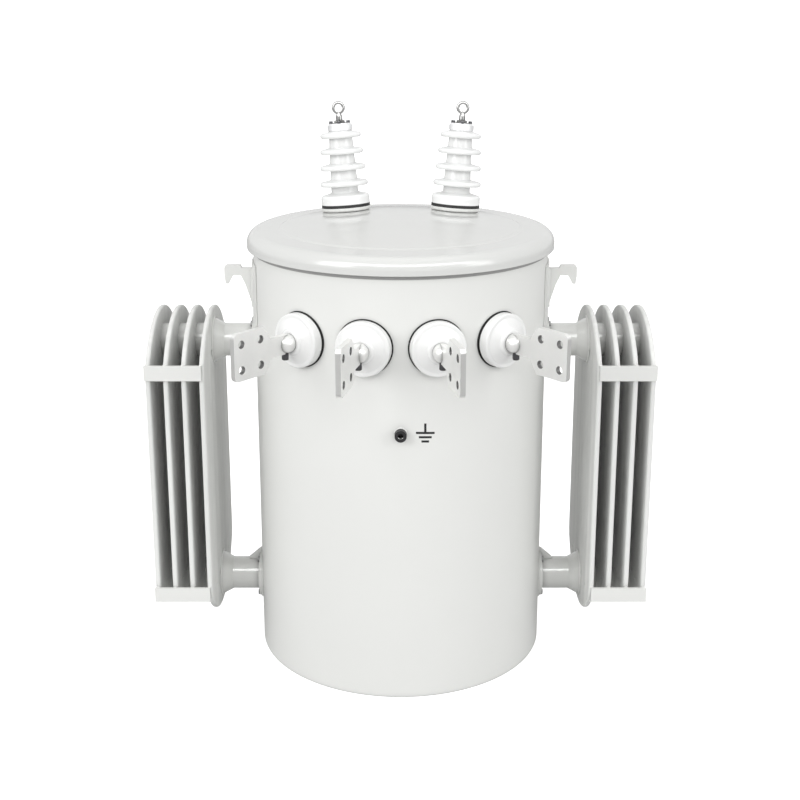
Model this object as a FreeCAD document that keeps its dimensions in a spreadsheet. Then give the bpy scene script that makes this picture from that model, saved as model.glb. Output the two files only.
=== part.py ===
import FreeCAD, Part
import math
import os

import Sketcher

# Single-phase oil-filled distribution transformer: a round steel tank with a domed, pressed cover,
# two high-voltage bushings on the cover, four low-voltage bushings on the front of the tank, a
# pressed-panel radiator on each side, two lifting lugs and two hanger brackets at the back.
# Millimetres. The origin is on the floor at the tank's axis, +Z up, -Y to the front (low-voltage
# side), +X to the right as seen from the front.

doc = FreeCAD.newDocument("distribution_transformer")

# ---------------------------------------------------------------- driving dimensions
DIMENSIONS = {
    # tank
    "tank_dia": 550.0,            # outside diameter of the shell
    "shell_top": 784.0,           # height of the shell's top edge
    "wall": 3.4,                  # shell plate
    "foot_round": 3.0,            # rolled bottom edge of the shell
    "top_flange": 14.0,           # inward flange that carries the cover gasket
    "top_flange_thick": 5.0,
    "bottom_thick": 6.0,
    "seat_gap": 0.3,              # gap left where curved faces meet
    # cover
    "cover_gasket_thick": 8.0,
    "cover_gasket_proud": 1.0,    # how far the gasket stands out beyond the shell
    "cover_overhang": 11.6,       # lip beyond the shell, all round
    "cover_thick": 3.0,
    "cover_lip": 9.0,             # straight part of the lip
    "cover_roll": 22.0,           # radius from the lip into the shoulder
    "cover_step_radius": 221.0,   # where the raised middle starts
    "cover_step": 1.2,            # rise of that middle above the shoulder
    "cover_step_run": 6.0,        # width of the slope that makes the rise
    "cover_apex": 51.5,           # top of the dome above the lip's lower edge
    "cover_dome": 1500.0,         # radius of the dome
    # high-voltage bushings
    "hv_circle": 160.0,           # distance from the cover's middle
    "hv_azimuth": 41.5,           # angle from straight back
    "hv_collar_radius": 47.0,
    "hv_collar_thick": 6.7,
    "hv_collar_relief": 1.8,      # recess under the collar's rim, both ways
    "hv_gasket_thick": 6.0,
    "hv_shank_radius": 26.0,      # part that passes through the cover
    "hv_shank_depth": 34.0,
    "hv_shank_gap": 1.0,
    "hv_skirt_radius": 47.0,
    "hv_skirt": 18.0,
    "hv_core_low": 26.0,
    "hv_core_top": 22.5,
    "hv_shed_first": 39.3,        # first shed above the porcelain's seat
    "hv_shed_pitch": 30.9,
    "hv_shed_low": 46.5,          # radius of the lowest shed
    "hv_shed_top": 39.5,          # radius of the top shed
    "hv_shed_rim": 4.8,           # rounding of a shed's rim
    "hv_shed_slope": 3.3,
    "hv_porcelain": 142.0,        # height of the porcelain above its seat
    "hv_cap_radius": 24.0,
    "hv_cap": 13.0,
    "hv_cap_chamfer": 4.0,
    "hv_neck_radius": 6.2,
    "hv_neck_top": 3.2,           # the neck narrows to this under the eye
    "hv_neck": 17.0,
    "hv_eye_radius": 12.7,
    "hv_eye_hole": 6.5,
    "hv_eye_bar": 3.6,            # radius of the eye's round bar
    # low-voltage bushings
    "lv_drop": 119.5,             # from the shell's top edge down to the bushings
    "lv_pitch_angle": 26.1,       # angle between neighbours round the tank
    "lv_gasket_radius": 47.7,
    "lv_gasket_out": 4.0,         # the gasket follows the tank's curve at this thickness
    "lv_hole_radius": 27.0,
    "lv_shank_radius": 25.0,
    "lv_shank_depth": 22.0,
    "lv_flange_radius": 48.5,
    "lv_flange_thick": 14.0,
    "lv_cone_base": 41.0,
    "lv_cone_tip": 21.0,
    "lv_cone": 12.0,
    "lv_hub_radius": 16.5,        # straight part of the hub, and its domed end
    "lv_hub": 8.0,
    "lv_neck_height": 34.0,       # height of the spade where it leaves the hub
    "lv_spade_thick": 9.0,
    "lv_spade_height": 82.5,
    "lv_spade_round": 9.0,
    "lv_hole_inner": 104.0,       # inner column of spade holes from the tank's surface
    "lv_hole_pitch": 44.45,
    "lv_spade_hole": 7.15,        # radius
    "lv_spade_margin": 17.0,      # hole to the spade's edge
    # lifting lugs
    "lug_pad_thick": 3.4,
    "lug_pad_half_angle": 16.0,
    "lug_pad_drop": 20.0,         # from the shell's top edge
    "lug_pad_height": 112.0,
    "lug_pad_weld": 0.3,
    "lug_thick": 12.0,
    "lug_top_drop": 32.0,         # from the shell's top edge
    "lug_reach": 57.0,            # tip from the tank's surface
    "lug_drop": 36.0,             # height of the hooked tip
    "lug_notch_in": 26.0,
    "lug_notch_out": 40.5,
    "lug_notch_top": 20.0,        # metal left above the notch
    "lug_height": 84.0,
    # radiators
    "panel_clear": 85.0,          # middle of the inner panel from the tank's surface
    "panel_pitch": 32.6,
    "panel_thick": 9.0,
    "panel_half_width": 155.0,
    "panel_arch": 100.0,          # height of the arched ends
    "panel_corner": 60.0,         # radius from an arch into the upright edge
    "panel_flute_pitch": 44.0,
    "panel_groove": 30.0,
    "panel_groove_floor": 6.0,
    "panel_groove_deep": 1.2,
    "panel_edge_round": 3.2,
    "header_low": 122.0,
    "header_drop": 178.0,         # upper header below the shell's top edge
    "header_end": 63.0,           # from the upper header's axis to the top of the panels
    "header_foot": 54.5,          # from the lower header's axis to the foot of the inner panel
    "panel_short": 12.0,          # the outer panels stop this much higher
    "header_radius": 31.5,
    "header_bore": 26.0,
    "header_flare": 43.0,
    "header_flare_long": 22.0,
    "header_collar": 45.0,
    "header_collar_thick": 5.0,
    "gusset": 22.0,
    "gusset_thick": 8.0,
    "bar_thick": 5.0,
    "bar_height": 28.0,
    "bar_from_header": 24.0,      # middle of the bar from the header's axis
    "bar_rise": 3.0,              # both bars stand this much higher than that
    "bar_inset": 4.0,             # starts part way across the inner panel
    "bar_past": 1.0,              # ends beyond the outer panel
    # ground connection
    "ground_drop": 154.0,         # below the low-voltage bushings
    "ground_radius": 10.5,
    "ground_long": 14.0,
    "ground_bore": 5.4,
    "ground_bore_deep": 12.0,
    # hanger brackets
    "hanger_drop": 94.4,          # upper slot below the shell's top edge
    "hanger_low": 99.0,           # the slots are then 590.6 apart
    "hanger_reach": 75.0,
    "hanger_height": 100.0,
    "hanger_width": 96.0,
    "hanger_plate": 8.0,
    "hanger_web": 6.0,
    "hanger_web_span": 64.0,
    "hanger_slot_radius": 8.75,
    "hanger_slot": 40.0,
}

sheet = doc.addObject("Spreadsheet::Sheet", "Dimensions")
for row, (alias, number) in enumerate(DIMENSIONS.items(), start=1):
    sheet.set(f"A{row}", alias)
    sheet.set(f"B{row}", str(number))
    sheet.setAlias(f"B{row}", alias)
doc.recompute()


class Size:
    """A dimension: the spreadsheet formula that gives it, with its present value."""

    def __init__(self, text, value):
        self.text, self.value = text, float(value)

    def __add__(self, other):
        other = size(other)
        return Size(f"({self.text} + {other.text})", self.value + other.value)

    def __sub__(self, other):
        other = size(other)
        return Size(f"({self.text} - {other.text})", self.value - other.value)

    def __mul__(self, other):
        other = size(other)
        return Size(f"({self.text} * {other.text})", self.value * other.value)

    def __truediv__(self, other):
        other = size(other)
        return Size(f"({self.text} / {other.text})", self.value / other.value)

    def __neg__(self):
        return size(0) - self

    __radd__, __rmul__ = __add__, __mul__


def size(value):
    """A plain number as a Size; a Size stays as it is."""
    return value if isinstance(value, Size) else Size(f"{value:.6f}", value)


def cell(alias):
    """The Size held by one cell of the sheet."""
    return Size(f"Dimensions.{alias}", getattr(sheet, alias))


def root(value):
    return Size(f"sqrt({value.text})", math.sqrt(value.value))


def sine(angle):
    return Size(f"sin({angle.text})", math.sin(math.radians(angle.value)))


def cosine(angle):
    return Size(f"cos({angle.text})", math.cos(math.radians(angle.value)))


def arcsine(ratio):
    return Size(f"asin({ratio.text})", math.degrees(math.asin(ratio.value)))


# ---------------------------------------------------------------- modelling helpers
nodes = []
X_AXIS, Y_AXIS, Z_AXIS = (FreeCAD.Vector(1, 0, 0), FreeCAD.Vector(0, 1, 0), FreeCAD.Vector(0, 0, 1))


def keep(shape_object, label):
    """Name an object as one of the transformer's pieces."""
    shape_object.Label = label
    nodes.append(shape_object)
    return shape_object


def bind(shape_object, **sizes):
    for name, value in sizes.items():
        shape_object.setExpression(name, size(value).text)


def place(shape_object, at=(0, 0, 0), axis=Z_AXIS, angle=0):
    """Put an object at a point, turned by an angle about an axis; both follow the sheet."""
    at, angle = [size(value) for value in at], size(angle)
    point = FreeCAD.Vector(*[value.value for value in at])
    shape_object.Placement = FreeCAD.Placement(point, FreeCAD.Rotation(axis, angle.value))
    for name, value in zip("xyz", at):
        shape_object.setExpression(f"Placement.Base.{name}", value.text)
    if angle.value:
        shape_object.setExpression("Placement.Rotation.Angle", angle.text)
    return shape_object


def new_body(name):
    return doc.addObject("PartDesign::Body", name)


def origin_plane(body, role):
    return [plane for plane in body.Origin.OriginFeatures if plane.Role == role][0]


def arc_through(start, end, radius):
    """Arc from start to end; a positive radius turns anticlockwise on the way."""
    chord = end - start
    half = chord.Length / 2
    rise = math.sqrt(max(radius * radius - half * half, 0.0))
    side = FreeCAD.Vector(-chord.y, chord.x, 0).normalize()
    middle = (start + end) * 0.5 + side * (rise if radius > 0 else -rise)
    first, last = (start, end) if radius > 0 else (end, start)
    angles = [math.atan2(point.y - middle.y, point.x - middle.x) for point in (first, last)]
    if angles[1] <= angles[0]:
        angles[1] += 2 * math.pi
    circle = Part.Circle(middle, Z_AXIS, abs(radius))
    return Part.ArcOfCircle(circle, *angles)


def outline(body, role, points, name="Outline"):
    """Closed sketch through points (x, y) or (x, y, radius of the arc that leads to this point)."""
    sketch = body.newObject("Sketcher::SketchObject", name)
    sketch.AttachmentSupport = [(origin_plane(body, role), "")]
    sketch.MapMode = "FlatFace"
    sizes = [[size(value) for value in point] for point in points]
    vectors = [FreeCAD.Vector(point[0].value, point[1].value, 0) for point in sizes]
    ends = []
    for i, point in enumerate(sizes):
        start, end = vectors[i - 1], vectors[i]
        if len(point) == 3:
            edge = sketch.addGeometry(arc_through(start, end, point[2].value), False)
            ends.append((edge, 1, 2) if point[2].value > 0 else (edge, 2, 1))
        else:
            edge = sketch.addGeometry(Part.LineSegment(start, end), False)
            ends.append((edge, 1, 2))
    for i, point in enumerate(sizes):
        edge, _, tail = ends[i]
        following, head, _ = ends[(i + 1) % len(ends)]
        sketch.addConstraint(Sketcher.Constraint("Coincident", edge, tail, following, head))
        for kind, axis, value in (("DistanceX", -2, point[0]), ("DistanceY", -1, point[1])):
            if value.value == 0:
                sketch.addConstraint(Sketcher.Constraint("PointOnObject", edge, tail, axis))
            else:
                rule = sketch.addConstraint(
                    Sketcher.Constraint(kind, -1, 1, edge, tail, value.value))
                sketch.setExpression(f"Constraints[{rule}]", value.text)
        if len(point) == 3:
            radius = point[2] if point[2].value > 0 else -point[2]
            rule = sketch.addConstraint(Sketcher.Constraint("Radius", edge, radius.value))
            sketch.setExpression(f"Constraints[{rule}]", radius.text)
    return sketch


def circles(body, role, rounds, name="Holes"):
    """Sketch of full circles (x, y, radius)."""
    sketch = body.newObject("Sketcher::SketchObject", name)
    sketch.AttachmentSupport = [(origin_plane(body, role), "")]
    sketch.MapMode = "FlatFace"
    for x, y, radius in [[size(value) for value in item] for item in rounds]:
        centre = FreeCAD.Vector(x.value, y.value, 0)
        edge = sketch.addGeometry(Part.Circle(centre, Z_AXIS, radius.value), False)
        for kind, axis, value in (("DistanceX", -2, x), ("DistanceY", -1, y)):
            if value.value == 0:
                sketch.addConstraint(Sketcher.Constraint("PointOnObject", edge, 3, axis))
            else:
                rule = sketch.addConstraint(Sketcher.Constraint(kind, -1, 1, edge, 3, value.value))
                sketch.setExpression(f"Constraints[{rule}]", value.text)
        rule = sketch.addConstraint(Sketcher.Constraint("Radius", edge, radius.value))
        sketch.setExpression(f"Constraints[{rule}]", radius.text)
    return sketch


def turned(name, points, role="XZ_Plane", axis="V_Axis"):
    """Body of revolution of a closed profile about its sketch's vertical or horizontal axis."""
    body = new_body(name)
    sketch = outline(body, role, points, name + "_profile")
    turn = body.newObject("PartDesign::Revolution", name + "_turn")
    turn.Profile = sketch
    turn.ReferenceAxis = (sketch, [axis])
    turn.Angle = 360
    return body


def plate(name, role, points, thick):
    """Flat body: a closed outline padded to both sides of its plane."""
    body = new_body(name)
    pad = body.newObject("PartDesign::Pad", name + "_pad")
    pad.Profile = outline(body, role, points, name + "_outline")
    pad.SideType = "Symmetric"
    bind(pad, Length=thick)
    return body


def drill(body, role, rounds, name):
    """Round holes right through a body along its sketch's normal."""
    pocket = body.newObject("PartDesign::Pocket", name)
    pocket.Profile = circles(body, role, rounds, name + "_circles")
    pocket.SideType = "Symmetric"
    pocket.Type = "ThroughAll"
    return pocket


def rod(name, radius, long, at=(0, 0, 0), axis=Z_AXIS, angle=0):
    """Cylinder along Z, moved and turned."""
    cylinder = doc.addObject("Part::Cylinder", name)
    bind(cylinder, Radius=radius, Height=long)
    return place(cylinder, at, axis, angle)


def block(name, sizes, at):
    box = doc.addObject("Part::Box", name)
    bind(box, Length=sizes[0], Width=sizes[1], Height=sizes[2])
    return place(box, at)


def joined(name, pieces):
    fuse = doc.addObject("Part::MultiFuse", name)
    fuse.Shapes = pieces
    return fuse


def cut(name, base, tool):
    result = doc.addObject("Part::Cut", name)
    result.Base, result.Tool = base, tool
    return result


def group(name, pieces):
    """Like pieces that share one node."""
    compound = doc.addObject("Part::Compound", name)
    compound.Links = pieces
    return compound


# ---------------------------------------------------------------- sizes used by several pieces
tank_radius = cell("tank_dia") / 2
gap = cell("seat_gap")
outside = tank_radius + gap                      # where pieces seated on the shell begin
shell_top = cell("shell_top")
lip_level = shell_top + cell("cover_gasket_thick")
lv_height = shell_top - cell("lv_drop")
header_high = shell_top - cell("header_drop")
sides = (("left", -1), ("right", 1))


def shell_cutter(name):
    """Upright cylinder that trims pieces to the curve of the shell."""
    return rod(name, outside, shell_top + 200, (0, 0, -100))


# ---------------------------------------------------------------- tank shell
# Rolled and welded plate with an inward flange on top. Round holes take the low-voltage bushings
# and the radiator headers.
wall, flange = cell("wall"), cell("top_flange")
flange_under = shell_top - cell("top_flange_thick")
foot = cell("foot_round")
shell_body = turned("shell_rolled", [
    (tank_radius - foot, 0),
    (tank_radius, foot, foot),
    (tank_radius, shell_top),
    (tank_radius - flange, shell_top),
    (tank_radius - flange, flange_under),
    (tank_radius - wall, flange_under),
    (tank_radius - wall, 0),
])

lv_angles = [cell("lv_pitch_angle") * step for step in (-1.5, -0.5, 0.5, 1.5)]
shell_holes = []
for number, angle in enumerate(lv_angles, start=1):
    hole = rod(f"lv_hole_{number}", cell("lv_hole_radius"), tank_radius / 2,
               (tank_radius * 0.75 * sine(angle), -(tank_radius * 0.75 * cosine(angle)),
                lv_height))
    turn = FreeCAD.Rotation(Z_AXIS, angle.value) * FreeCAD.Rotation(X_AXIS, 90)
    hole.Placement = FreeCAD.Placement(hole.Placement.Base, turn)
    hole.setExpression("Placement.Rotation.Angle", None)
    shell_holes.append(hole)
for side, sign in sides:
    for name, level in (("low", cell("header_low")), ("high", header_high)):
        shell_holes.append(rod(f"header_hole_{side}_{name}", cell("header_bore"), tank_radius,
                               (0, 0, level), Y_AXIS, 90 * sign))
        bind(shell_holes[-1], Height=tank_radius + 20)
keep(cut("shell_cut", shell_body, joined("shell_hole_set", shell_holes)), "tank_shell")

# Flat bottom plate, welded inside the shell and flush with its lower edge.
keep(rod("bottom_plate", tank_radius - wall - gap, cell("bottom_thick")), "tank_bottom")

# ---------------------------------------------------------------- cover and its gasket
keep(turned("cover_seal", [
    (tank_radius - flange, shell_top),
    (tank_radius + cell("cover_gasket_proud"), shell_top),
    (tank_radius + cell("cover_gasket_proud"), lip_level),
    (tank_radius - flange, lip_level),
]), "cover_gasket")

# One pressing: a straight lip, a rolled shoulder, a small step and a shallow dome.
lip = tank_radius + cell("cover_overhang")
thick, roll, dome = cell("cover_thick"), cell("cover_roll"), cell("cover_dome")
apex = lip_level + cell("cover_apex")
dome_centre = apex - dome
step_radius = cell("cover_step_radius")


def dome_height(radius, offset=0):
    """Height of the dome, or of a surface a constant depth under it, at a radius."""
    reach = dome - offset
    return dome_centre + root(reach * reach - radius * radius)


step_top = dome_height(step_radius)
step_run = cell("cover_step_run")
step_foot = dome_height(step_radius + step_run) - cell("cover_step")
roll_start = lip - roll
roll_top = lip_level + cell("cover_lip") + roll
inner_roll = roll - thick
cover_body = turned("cover_pressing", [
    (tank_radius - flange, lip_level),
    (lip, lip_level),
    (lip, lip_level + cell("cover_lip")),
    (roll_start, roll_top, roll),
    (step_radius + step_run, step_foot),
    (step_radius, step_top),
    (0, apex, dome),
    (0, apex - thick),
    (step_radius, dome_height(step_radius, thick), -(dome - thick)),
    (step_radius + step_run, step_foot - thick),
    (roll_start, roll_top - thick),
    (lip - thick, lip_level + cell("cover_lip"), -inner_roll),
    (lip - thick, lip_level + thick),
    (tank_radius - flange, lip_level + thick),
])

hv_circle, hv_azimuth = cell("hv_circle"), cell("hv_azimuth")
hv_tilt = arcsine(hv_circle / dome)
hv_level = dome_height(hv_circle)


def on_cover(shape_object, sign, height=0):
    """Stand an object, modelled upright about Z, square to the dome at a bushing's place."""
    reach = hv_circle + sine(hv_tilt) * height
    place(shape_object,
          (reach * sine(hv_azimuth) * sign, reach * cosine(hv_azimuth),
           hv_level + cosine(hv_tilt) * height),
          FreeCAD.Vector(-math.cos(math.radians(hv_azimuth.value)),
                         sign * math.sin(math.radians(hv_azimuth.value)), 0), hv_tilt)
    return shape_object


hv_holes = [on_cover(rod(f"hv_hole_{side}", cell("hv_shank_radius") + cell("hv_shank_gap"), 60),
                     sign, -30) for side, sign in sides]
keep(cut("cover_cut", cover_body, joined("cover_hole_set", hv_holes)), "tank_cover")

# ---------------------------------------------------------------- high-voltage bushings
# Wet-process porcelain with four sheds, on a rubber gasket and a clamping collar, with a metal cap
# and an eye terminal on top. Each stands square to the dome, so it leans outwards a little.
collar_top = gap + cell("hv_collar_thick")
seat = collar_top + cell("hv_gasket_thick")
shank, bore = cell("hv_shank_radius"), cell("hv_shank_radius") + cell("hv_shank_gap")
rim, slope = cell("hv_shed_rim"), cell("hv_shed_slope")
core_low, core_top = cell("hv_core_low"), cell("hv_core_top")
SHEDS = 4


def ring_profile(inner, outer, bottom, top):
    return [(inner, bottom), (outer, bottom), (outer, top), (inner, top)]


def porcelain_profile():
    """Half section of the porcelain, from its shank up over the skirt and the sheds."""
    skirt, skirt_top = cell("hv_skirt_radius"), seat + cell("hv_skirt")
    points = [(0, -cell("hv_shank_depth")), (shank, -cell("hv_shank_depth")), (shank, seat),
              (skirt, seat), (skirt, skirt_top - 6), (skirt - 5, skirt_top, 6),
              (core_low + 4, skirt_top + 3), (core_low, skirt_top + 6, -6)]
    for number in range(SHEDS):
        share = number / (SHEDS - 1)
        middle = seat + cell("hv_shed_first") + cell("hv_shed_pitch") * number
        reach = cell("hv_shed_low") + (cell("hv_shed_top") - cell("hv_shed_low")) * share
        core = core_low + (core_top - core_low) * share
        points += [(core, middle - rim - 1), (reach - rim, middle - rim),
                   (reach, middle, rim), (reach - rim, middle + rim, rim),
                   (core, middle + rim + slope)]
    top = seat + cell("hv_porcelain")
    return points + [(core_top, top), (0, top)]


collar, relief = cell("hv_collar_radius"), cell("hv_collar_relief")
for side, sign in sides:
    on_cover(keep(turned(f"hv_{side}_ring", [
        (bore, gap), (collar - relief, gap), (collar - relief, gap + relief),
        (collar, gap + relief), (collar, collar_top), (bore, collar_top)]),
        f"hv_{side}_collar"), sign)
    on_cover(keep(turned(f"hv_{side}_china", porcelain_profile()), f"hv_{side}_porcelain"), sign)

    cap, cap_foot = cell("hv_cap_radius"), seat + cell("hv_porcelain")
    cap_top, chamfer = cap_foot + cell("hv_cap"), cell("hv_cap_chamfer")
    on_cover(keep(turned(f"hv_{side}_top", [
        (0, cap_foot), (cap, cap_foot), (cap, cap_top - chamfer), (cap - chamfer, cap_top),
        (0, cap_top)]), f"hv_{side}_cap"), sign)

    # Eye terminal: a neck that narrows under a ring of round bar, which takes the conductor.
    eye_level = cap_top + cell("hv_neck") + cell("hv_eye_radius")
    bar = cell("hv_eye_bar")
    ring_foot = eye_level - cell("hv_eye_radius")
    shoulder = ring_foot - bar
    neck = turned(f"hv_{side}_neck", [
        (0, cap_top), (cell("hv_neck_radius"), cap_top), (cell("hv_neck_radius"), shoulder),
        (cell("hv_neck_top"), ring_foot + bar), (0, ring_foot + bar)])
    ring = doc.addObject("Part::Torus", f"hv_{side}_eye_ring")
    bind(ring, Radius1=cell("hv_eye_radius") - bar, Radius2=bar)
    place(ring, (0, 0, eye_level), X_AXIS, 90)
    hole = rod(f"hv_{side}_eye_hole", cell("hv_eye_hole"), bar * 4, (0, bar * 2, eye_level),
               X_AXIS, 90)
    eye = cut(f"hv_{side}_eye_cut", joined(f"hv_{side}_eye_blank", [neck, ring]), hole)
    on_cover(keep(eye, f"hv_{side}_terminal"), sign)

hv_seals = [on_cover(turned(f"hv_{side}_seal", ring_profile(bore, cell("hv_collar_radius"),
                                                            collar_top, seat)), sign)
            for side, sign in sides]
keep(group("hv_seal_pair", hv_seals), "hv_gaskets")

# ---------------------------------------------------------------- low-voltage bushings
# Modelled with +X pointing straight out of the tank, then turned to their places.
lv_face = tank_radius + cell("lv_gasket_out")                 # outer face of the gasket
lv_step = lv_face + cell("lv_flange_thick")
lv_tip = lv_step + cell("lv_cone")
hub_dome = lv_tip + cell("lv_hub")                            # where the hub's dome begins
hole_in = tank_radius + cell("lv_hole_inner")
hole_out = hole_in + cell("lv_hole_pitch")
spade_end = hole_out + cell("lv_spade_margin")
spade_start = hole_in - cell("lv_spade_margin")
spade_half, neck_half = cell("lv_spade_height") / 2, cell("lv_neck_height") / 2
spade_corner, hub = cell("lv_spade_round"), cell("lv_hub_radius")


def on_tank(shape_object, angle):
    """Turn a piece modelled along +X to an angle from straight ahead, at the bushings' height."""
    return place(shape_object, (0, 0, lv_height), Z_AXIS, angle - 90)


lv_seals = []
for number, angle in enumerate(lv_angles, start=1):
    disc = rod(f"lv_{number}_seal_disc", cell("lv_gasket_radius"), cell("lv_gasket_out") + 20,
               (tank_radius - 20, 0, 0), Y_AXIS, 90)
    inside = rod(f"lv_{number}_seal_hole", cell("lv_hole_radius"), 200,
                 (tank_radius - 100, 0, 0), Y_AXIS, 90)
    curve = rod(f"lv_{number}_seal_curve", outside, 300, (0, 0, -150))
    sheet_face = rod(f"lv_{number}_seal_face", lv_face, 300, (0, 0, -150))
    sheet_part = doc.addObject("Part::MultiCommon", f"lv_{number}_seal_sheet")
    sheet_part.Shapes = [disc, sheet_face]
    seal = cut(f"lv_{number}_seal", sheet_part,
               joined(f"lv_{number}_seal_tools", [inside, curve]))
    lv_seals.append(on_tank(seal, angle))

    # The insulator's flange is hollowed to the gasket's curve; its shank passes the shell.
    solid = turned(f"lv_{number}_solid", [
        (tank_radius - cell("lv_shank_depth"), 0),
        (tank_radius - cell("lv_shank_depth"), cell("lv_shank_radius")),
        (tank_radius - 10, cell("lv_shank_radius")),
        (tank_radius - 10, cell("lv_flange_radius")),
        (lv_step - 3, cell("lv_flange_radius")),
        (lv_step, cell("lv_flange_radius") - 3, -3),
        (lv_step, cell("lv_cone_base")),
        (lv_tip - 4, cell("lv_cone_tip") + 3),
        (lv_tip, cell("lv_cone_tip") - 1, -6),
        (lv_tip, 0),
    ], "XZ_Plane", "H_Axis")
    back = rod(f"lv_{number}_back", lv_face + gap, 300, (0, 0, -150))
    spared = rod(f"lv_{number}_spared", cell("lv_shank_radius"), 200, (tank_radius - 100, 0, 0),
                 Y_AXIS, 90)
    insulator = cut(f"lv_{number}_insulator", solid, cut(f"lv_{number}_hollow", back, spared))
    on_tank(keep(insulator, f"lv_bushing_{number}"), angle)

    # Spade terminal: a hub with a domed end and a flat pad, four holes on a square.
    flat = plate(f"lv_{number}_flat", "XZ_Plane", [
        (hub_dome, -neck_half),
        (spade_start - 8, -neck_half),
        (spade_start + 8, -spade_half),
        (spade_end - spade_corner, -spade_half),
        (spade_end, spade_corner - spade_half, spade_corner),
        (spade_end, spade_half - spade_corner),
        (spade_end - spade_corner, spade_half, spade_corner),
        (spade_start + 8, spade_half),
        (spade_start - 8, neck_half),
        (hub_dome, neck_half),
    ], cell("lv_spade_thick"))
    half_pitch = cell("lv_hole_pitch") / 2
    drill(flat, "XZ_Plane", [(x, z, cell("lv_spade_hole"))
                             for x in (hole_in, hole_out) for z in (-half_pitch, half_pitch)],
          f"lv_{number}_holes")
    stub = turned(f"lv_{number}_hub", [
        (lv_tip, 0), (lv_tip, hub), (hub_dome, hub), (hub_dome + hub, 0, -hub)],
        "XZ_Plane", "H_Axis")
    on_tank(keep(joined(f"lv_{number}_spade", [stub, flat]), f"lv_spade_{number}"), angle)
keep(group("lv_seal_set", lv_seals), "lv_gaskets")

# ---------------------------------------------------------------- lifting lugs
# A hooked plate stands out on each side of the tank, on a curved doubler plate.
pad_outside = outside + cell("lug_pad_thick")
pad_angle = cell("lug_pad_half_angle")
pads = []
for side, sign in sides:
    sector = doc.addObject("Part::Cylinder", f"lug_{side}_sector")
    bind(sector, Radius=pad_outside, Height=cell("lug_pad_height"),
         Angle=pad_angle * 2)
    turn = size(-90 if sign < 0 else 90) - pad_angle + 90
    place(sector, (0, 0, shell_top - cell("lug_pad_drop") - cell("lug_pad_height")),
          Z_AXIS, turn)
    pads.append(cut(f"lug_{side}_doubler", sector, shell_cutter(f"lug_{side}_curve")))

    root_x, top = pad_outside + cell("lug_pad_weld"), shell_top - cell("lug_top_drop")
    notch = top - cell("lug_notch_top")
    tip, tip_foot = tank_radius + cell("lug_reach"), top - cell("lug_drop")
    notch_in, notch_out = (tank_radius + cell("lug_notch_in"), tank_radius + cell("lug_notch_out"))
    hook = plate(f"lug_{side}_hook", "XZ_Plane", [
        (root_x, top - cell("lug_height")),
        (notch_in - 16, notch - 42),
        (notch_in - 8, notch - 17),
        (notch_in, notch),
        (notch_out, notch),
        (tip - 8, tip_foot),
        (tip - 2, tip_foot),
        (tip, tip_foot + 14),
        (tip, top - 6),
        (tip - 6, top, 6),
        (notch_in + 1, top),
        (notch_in - 2, top - 6),
        (root_x, top - 6),
    ], cell("lug_thick"))
    if sign < 0:
        place(hook, (0, 0, 0), Z_AXIS, 180)
    keep(hook, f"lifting_lug_{side}")
keep(group("lug_doublers", pads), "lug_pads")

# ---------------------------------------------------------------- radiators
# Four pressed panels on each side, welded to an upper and a lower header pipe and held apart by
# flat bars on their front and back edges. All are modelled on the right; the left ones are the
# same pieces turned half round.
PANELS, GROOVES = 4, 5
panel_x = [tank_radius + cell("panel_clear") + cell("panel_pitch") * step
           for step in range(PANELS)]
half_thick, half_width = cell("panel_thick") / 2, cell("panel_half_width")
arch = cell("panel_arch")
levels = (("upper", header_high, 1), ("lower", cell("header_low"), -1))
panel_top = header_high + cell("header_end")
inner_foot = cell("header_low") - cell("header_foot")
pipe, pipe_hole = cell("header_radius"), cell("header_radius") + gap
inner_face, outer_face = panel_x[0] - half_thick, panel_x[-1] + half_thick

# An arch is one wide arc that runs smoothly into a tighter one at each upright edge.
corner = cell("panel_corner")
inset = half_width - corner
arch_radius = (inset * inset + arch * arch - corner * corner) / ((arch - corner) * 2)
bend = arch_radius * inset / (arch_radius - corner)
bend_drop = arch_radius - arch_radius * (arch_radius - arch) / (arch_radius - corner)
bend_top = panel_top - bend_drop


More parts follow.
